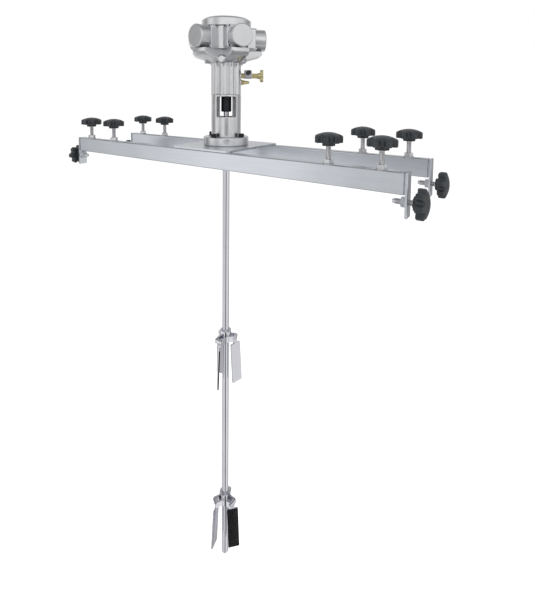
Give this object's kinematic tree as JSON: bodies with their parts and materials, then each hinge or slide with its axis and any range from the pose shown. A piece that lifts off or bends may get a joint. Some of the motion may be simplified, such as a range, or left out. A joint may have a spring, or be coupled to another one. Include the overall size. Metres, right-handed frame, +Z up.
{
  "type": "tank agitator",
  "caption": "Clamp-on tank agitator: radial air motor on a bridge of twin beams with star-knob clamps, turning a long shaft with folding impellers",
  "frame": {"origin": "on the agitator shaft's axis, in the plane of the beams' undersides, which rest on the tank", "axes": "+Z up along the shaft, X along the beams, +Y from the front beam to the rear beam"},
  "size_m": [1.1632, 0.272, 1.6125],
  "materials": {
    "satin_stainless": "satin",
    "polished_steel": "polished",
    "screw_steel": "machined",
    "satin_aluminium": "satin",
    "piston_alloy": "machined",
    "valve_body_metal": "satin",
    "brass": "machined",
    "knob_plastic": "matte",
    "black_plastic": "matte",
    "black_steel": "black oxide"
  },
  "bodies": {
    "mixer_frame": {"front_beam": "satin_stainless", "rear_beam": "satin_stainless", "beam_weld_nuts": "screw_steel", "centre_plate": "satin_stainless", "coupling_housing": "satin_aluminium", "flange_screws": "black_steel", "motor_body": "satin_aluminium", "top_cover": "satin_aluminium", "cylinder_heads": "satin_aluminium", "motor_screws": "screw_steel", "shaft_bearings": "screw_steel", "air_inlet_fittings": "brass", "throttle_valve_body": "valve_body_metal", "exhaust_silencer": "brass"},
    "drive": {"agitator_shaft": "polished_steel", "shaft_coupling": "black_steel", "crankshaft": "screw_steel", "upper_impeller_hub": "polished_steel", "lower_impeller_hub": "polished_steel", "impeller_pins_and_screws": "screw_steel"},
    "throttle_knob": {"throttle_knob": "black_plastic"},
    "upper_blade_1": {"upper_blade_1": "polished_steel"},
    "upper_blade_2": {"upper_blade_2": "polished_steel"},
    "upper_blade_3": {"upper_blade_3": "polished_steel"},
    "lower_blade_1": {"lower_blade_1": "polished_steel"},
    "lower_blade_2": {"lower_blade_2": "polished_steel"},
    "lower_blade_3": {"lower_blade_3": "polished_steel"},
    "piston_1": {"piston_1": "piston_alloy"},
    "piston_2": {"piston_2": "piston_alloy"},
    "piston_3": {"piston_3": "piston_alloy"},
    "piston_4": {"piston_4": "piston_alloy"},
    "piston_5": {"piston_5": "piston_alloy"},
    "front_left_end_arm": {"front_left_end_arm": "satin_stainless"},
    "front_left_outer_lock_screw": {"front_left_outer_lock_stud": "screw_steel"},
    "front_left_outer_lock_knob": {"front_left_outer_lock_knob": "knob_plastic"},
    "front_left_inner_lock_screw": {"front_left_inner_lock_stud": "screw_steel"},
    "front_left_inner_lock_knob": {"front_left_inner_lock_knob": "knob_plastic"},
    "front_left_clamp_screw": {"front_left_clamp_stud": "screw_steel"},
    "front_left_clamp_knob": {"front_left_clamp_knob": "knob_plastic"},
    "front_right_end_arm": {"front_right_end_arm": "satin_stainless"},
    "front_right_outer_lock_screw": {"front_right_outer_lock_stud": "screw_steel"},
    "front_right_outer_lock_knob": {"front_right_outer_lock_knob": "knob_plastic"},
    "front_right_inner_lock_screw": {"front_right_inner_lock_stud": "screw_steel"},
    "front_right_inner_lock_knob": {"front_right_inner_lock_knob": "knob_plastic"},
    "front_right_clamp_screw": {"front_right_clamp_stud": "screw_steel"},
    "front_right_clamp_knob": {"front_right_clamp_knob": "knob_plastic"},
    "rear_left_end_arm": {"rear_left_end_arm": "satin_stainless"},
    "rear_left_outer_lock_screw": {"rear_left_outer_lock_stud": "screw_steel"},
    "rear_left_outer_lock_knob": {"rear_left_outer_lock_knob": "knob_plastic"},
    "rear_left_inner_lock_screw": {"rear_left_inner_lock_stud": "screw_steel"},
    "rear_left_inner_lock_knob": {"rear_left_inner_lock_knob": "knob_plastic"},
    "rear_left_clamp_screw": {"rear_left_clamp_stud": "screw_steel"},
    "rear_left_clamp_knob": {"rear_left_clamp_knob": "knob_plastic"},
    "rear_right_end_arm": {"rear_right_end_arm": "satin_stainless"},
    "rear_right_outer_lock_screw": {"rear_right_outer_lock_stud": "screw_steel"},
    "rear_right_outer_lock_knob": {"rear_right_outer_lock_knob": "knob_plastic"},
    "rear_right_inner_lock_screw": {"rear_right_inner_lock_stud": "screw_steel"},
    "rear_right_inner_lock_knob": {"rear_right_inner_lock_knob": "knob_plastic"},
    "rear_right_clamp_screw": {"rear_right_clamp_stud": "screw_steel"},
    "rear_right_clamp_knob": {"rear_right_clamp_knob": "knob_plastic"}
  },
  "joints": [
    {"name": "drive_spin", "type": "hinge", "parent": "mixer_frame", "child": "drive", "pos_m": [0, 0, 0], "axis": [0, 0, 1], "continuous": true},
    {"name": "throttle_turn", "type": "hinge", "parent": "mixer_frame", "child": "throttle_knob", "pos_m": [0.05119, 0.03553, 0.256], "axis": [0.6947, -0.7193, 0], "range_deg": [0, 270]},
    {"name": "upper_blade_1_fold", "type": "hinge", "parent": "drive", "child": "upper_blade_1", "pos_m": [0.02449, 0.01358, -0.526], "axis": [0.4848, -0.8746, 0], "range_deg": [0, 87]},
    {"name": "upper_blade_2_fold", "type": "hinge", "parent": "drive", "child": "upper_blade_2", "pos_m": [-0.024, 0.01442, -0.526], "axis": [0.515, 0.8572, 0], "range_deg": [0, 87]},
    {"name": "upper_blade_3_fold", "type": "hinge", "parent": "drive", "child": "upper_blade_3", "pos_m": [-0.00049, -0.028, -0.526], "axis": [-0.9998, 0.0175, 0], "range_deg": [0, 87]},
    {"name": "lower_blade_1_fold", "type": "hinge", "parent": "drive", "child": "lower_blade_1", "pos_m": [0.028, -0.00049, -1.035], "axis": [-0.0175, -0.9998, 0], "range_deg": [0, 87]},
    {"name": "lower_blade_2_fold", "type": "hinge", "parent": "drive", "child": "lower_blade_2", "pos_m": [-0.01358, 0.02449, -1.035], "axis": [0.8746, 0.4848, 0], "range_deg": [0, 87]},
    {"name": "lower_blade_3_fold", "type": "hinge", "parent": "drive", "child": "lower_blade_3", "pos_m": [-0.01442, -0.024, -1.035], "axis": [-0.8572, 0.515, 0], "range_deg": [0, 87]},
    {"name": "piston_1_stroke", "type": "slide", "parent": "mixer_frame", "child": "piston_1", "axis": [0.8829, -0.4695, 0], "range_m": [-0.008, 0.008]},
    {"name": "piston_2_stroke", "type": "slide", "parent": "mixer_frame", "child": "piston_2", "axis": [0.7193, 0.6947, 0], "range_m": [-0.008, 0.008]},
    {"name": "piston_3_stroke", "type": "slide", "parent": "mixer_frame", "child": "piston_3", "axis": [-0.4384, 0.8988, 0], "range_m": [-0.008, 0.008]},
    {"name": "piston_4_stroke", "type": "slide", "parent": "mixer_frame", "child": "piston_4", "axis": [-0.9903, -0.1392, 0], "range_m": [-0.008, 0.008]},
    {"name": "piston_5_stroke", "type": "slide", "parent": "mixer_frame", "child": "piston_5", "axis": [-0.1736, -0.9848, 0], "range_m": [-0.008, 0.008]},
    {"name": "front_left_arm_slide", "type": "slide", "parent": "mixer_frame", "child": "front_left_end_arm", "axis": [-1, 0, 0], "range_m": [0, 0.12]},
    {"name": "front_left_outer_lock_travel", "type": "slide", "parent": "mixer_frame", "child": "front_left_outer_lock_screw", "axis": [0, 0, 1], "range_m": [0, 0.00875]},
    {"name": "front_left_outer_lock_turn", "type": "hinge", "parent": "front_left_outer_lock_screw", "child": "front_left_outer_lock_knob", "pos_m": [-0.487, -0.105, 0], "axis": [0, 0, 1], "range_deg": [0, 1800]},
    {"name": "front_left_inner_lock_travel", "type": "slide", "parent": "mixer_frame", "child": "front_left_inner_lock_screw", "axis": [0, 0, 1], "range_m": [0, 0.00875]},
    {"name": "front_left_inner_lock_turn", "type": "hinge", "parent": "front_left_inner_lock_screw", "child": "front_left_inner_lock_knob", "pos_m": [-0.37, -0.105, 0], "axis": [0, 0, 1], "range_deg": [0, 1800]},
    {"name": "front_left_clamp_travel", "type": "slide", "parent": "front_left_end_arm", "child": "front_left_clamp_screw", "axis": [-1, 0, 0], "range_m": [-0.00875, 0.014]},
    {"name": "front_left_clamp_turn", "type": "hinge", "parent": "front_left_clamp_screw", "child": "front_left_clamp_knob", "pos_m": [0, -0.105, -0.015], "axis": [-1, 0, 0], "range_deg": [-1800, 2880]},
    {"name": "front_right_arm_slide", "type": "slide", "parent": "mixer_frame", "child": "front_right_end_arm", "axis": [1, 0, 0], "range_m": [0, 0.12]},
    {"name": "front_right_outer_lock_travel", "type": "slide", "parent": "mixer_frame", "child": "front_right_outer_lock_screw", "axis": [0, 0, 1], "range_m": [0, 0.00875]},
    {"name": "front_right_outer_lock_turn", "type": "hinge", "parent": "front_right_outer_lock_screw", "child": "front_right_outer_lock_knob", "pos_m": [0.487, -0.105, 0], "axis": [0, 0, 1], "range_deg": [0, 1800]},
    {"name": "front_right_inner_lock_travel", "type": "slide", "parent": "mixer_frame", "child": "front_right_inner_lock_screw", "axis": [0, 0, 1], "range_m": [0, 0.00875]},
    {"name": "front_right_inner_lock_turn", "type": "hinge", "parent": "front_right_inner_lock_screw", "child": "front_right_inner_lock_knob", "pos_m": [0.37, -0.105, 0], "axis": [0, 0, 1], "range_deg": [0, 1800]},
    {"name": "front_right_clamp_travel", "type": "slide", "parent": "front_right_end_arm", "child": "front_right_clamp_screw", "axis": [1, 0, 0], "range_m": [-0.00875, 0.014]},
    {"name": "front_right_clamp_turn", "type": "hinge", "parent": "front_right_clamp_screw", "child": "front_right_clamp_knob", "pos_m": [0, -0.105, -0.015], "axis": [1, 0, 0], "range_deg": [-1800, 2880]},
    {"name": "rear_left_arm_slide", "type": "slide", "parent": "mixer_frame", "child": "rear_left_end_arm", "axis": [-1, 0, 0], "range_m": [0, 0.12]},
    {"name": "rear_left_outer_lock_travel", "type": "slide", "parent": "mixer_frame", "child": "rear_left_outer_lock_screw", "axis": [0, 0, 1], "range_m": [0, 0.00875]},
    {"name": "rear_left_outer_lock_turn", "type": "hinge", "parent": "rear_left_outer_lock_screw", "child": "rear_left_outer_lock_knob", "pos_m": [-0.487, 0.105, 0], "axis": [0, 0, 1], "range_deg": [0, 1800]},
    {"name": "rear_left_inner_lock_travel", "type": "slide", "parent": "mixer_frame", "child": "rear_left_inner_lock_screw", "axis": [0, 0, 1], "range_m": [0, 0.00875]},
    {"name": "rear_left_inner_lock_turn", "type": "hinge", "parent": "rear_left_inner_lock_screw", "child": "rear_left_inner_lock_knob", "pos_m": [-0.37, 0.105, 0], "axis": [0, 0, 1], "range_deg": [0, 1800]},
    {"name": "rear_left_clamp_travel", "type": "slide", "parent": "rear_left_end_arm", "child": "rear_left_clamp_screw", "axis": [-1, 0, 0], "range_m": [-0.00875, 0.014]},
    {"name": "rear_left_clamp_turn", "type": "hinge", "parent": "rear_left_clamp_screw", "child": "rear_left_clamp_knob", "pos_m": [0, 0.105, -0.015], "axis": [-1, 0, 0], "range_deg": [-1800, 2880]},
    {"name": "rear_right_arm_slide", "type": "slide", "parent": "mixer_frame", "child": "rear_right_end_arm", "axis": [1, 0, 0], "range_m": [0, 0.12]},
    {"name": "rear_right_outer_lock_travel", "type": "slide", "parent": "mixer_frame", "child": "rear_right_outer_lock_screw", "axis": [0, 0, 1], "range_m": [0, 0.00875]},
    {"name": "rear_right_outer_lock_turn", "type": "hinge", "parent": "rear_right_outer_lock_screw", "child": "rear_right_outer_lock_knob", "pos_m": [0.487, 0.105, 0], "axis": [0, 0, 1], "range_deg": [0, 1800]},
    {"name": "rear_right_inner_lock_travel", "type": "slide", "parent": "mixer_frame", "child": "rear_right_inner_lock_screw", "axis": [0, 0, 1], "range_m": [0, 0.00875]},
    {"name": "rear_right_inner_lock_turn", "type": "hinge", "parent": "rear_right_inner_lock_screw", "child": "rear_right_inner_lock_knob", "pos_m": [0.37, 0.105, 0], "axis": [0, 0, 1], "range_deg": [0, 1800]},
    {"name": "rear_right_clamp_travel", "type": "slide", "parent": "rear_right_end_arm", "child": "rear_right_clamp_screw", "axis": [1, 0, 0], "range_m": [-0.00875, 0.014]},
    {"name": "rear_right_clamp_turn", "type": "hinge", "parent": "rear_right_clamp_screw", "child": "rear_right_clamp_knob", "pos_m": [0, 0.105, -0.015], "axis": [1, 0, 0], "range_deg": [-1800, 2880]}
  ],
  "couplings": [
    {"joint": "front_left_outer_lock_turn", "follows": "front_left_outer_lock_travel", "rad_per_m": 3590.4},
    {"joint": "front_left_inner_lock_turn", "follows": "front_left_inner_lock_travel", "rad_per_m": 3590.4},
    {"joint": "front_left_clamp_turn", "follows": "front_left_clamp_travel", "rad_per_m": 3590.4},
    {"joint": "front_right_outer_lock_turn", "follows": "front_right_outer_lock_travel", "rad_per_m": 3590.4},
    {"joint": "front_right_inner_lock_turn", "follows": "front_right_inner_lock_travel", "rad_per_m": 3590.4},
    {"joint": "front_right_clamp_turn", "follows": "front_right_clamp_travel", "rad_per_m": 3590.4},
    {"joint": "rear_left_outer_lock_turn", "follows": "rear_left_outer_lock_travel", "rad_per_m": 3590.4},
    {"joint": "rear_left_inner_lock_turn", "follows": "rear_left_inner_lock_travel", "rad_per_m": 3590.4},
    {"joint": "rear_left_clamp_turn", "follows": "rear_left_clamp_travel", "rad_per_m": 3590.4},
    {"joint": "rear_right_outer_lock_turn", "follows": "rear_right_outer_lock_travel", "rad_per_m": 3590.4},
    {"joint": "rear_right_inner_lock_turn", "follows": "rear_right_inner_lock_travel", "rad_per_m": 3590.4},
    {"joint": "rear_right_clamp_turn", "follows": "rear_right_clamp_travel", "rad_per_m": 3590.4}
  ]
}
